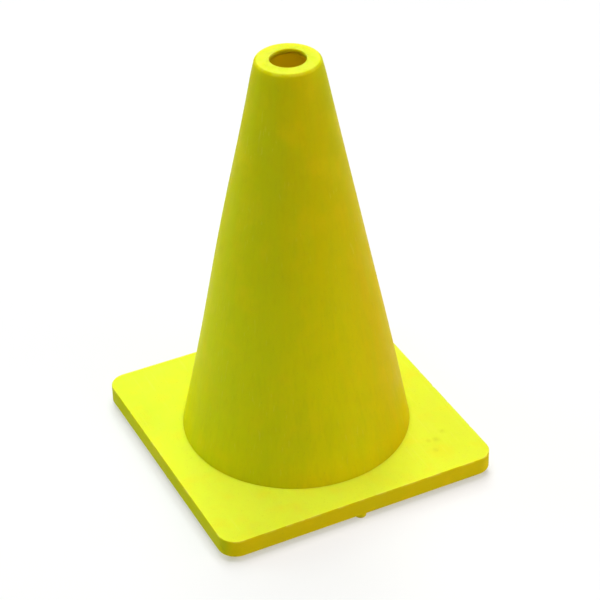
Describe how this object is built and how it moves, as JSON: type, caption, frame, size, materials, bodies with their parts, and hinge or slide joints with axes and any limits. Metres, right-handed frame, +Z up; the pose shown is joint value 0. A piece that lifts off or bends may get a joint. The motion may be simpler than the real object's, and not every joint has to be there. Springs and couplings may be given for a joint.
{
  "type": "traffic cone",
  "caption": "Small one-colour traffic cone: tapered hollow body with a thick holed lip, fixed in a heavy square base that stands on small grip feet.",
  "frame": {"origin": "on the ground plane, under the middle of the square base, on the cone's axis", "axes": "+Z up along the cone's axis, X and Y along the base's sides, -Y is the front side"},
  "size_m": [0.206, 0.206, 0.305],
  "materials": {
    "shell_pvc": "satin moulded PVC, strong yellow with a green tinge",
    "base_pvc": "matt moulded PVC, the same yellow, lightly scuffed",
    "foot_pvc": "matt soft PVC, the same yellow, dusty"
  },
  "bodies": {
    "root": {"cone_shell": "shell_pvc", "base_plate": "base_pvc", "foot_front": "foot_pvc", "foot_right": "foot_pvc", "foot_back": "foot_pvc", "foot_left": "foot_pvc", "foot_front_left": "foot_pvc", "foot_front_right": "foot_pvc", "foot_back_right": "foot_pvc", "foot_back_left": "foot_pvc"}
  },
  "joints": []
}
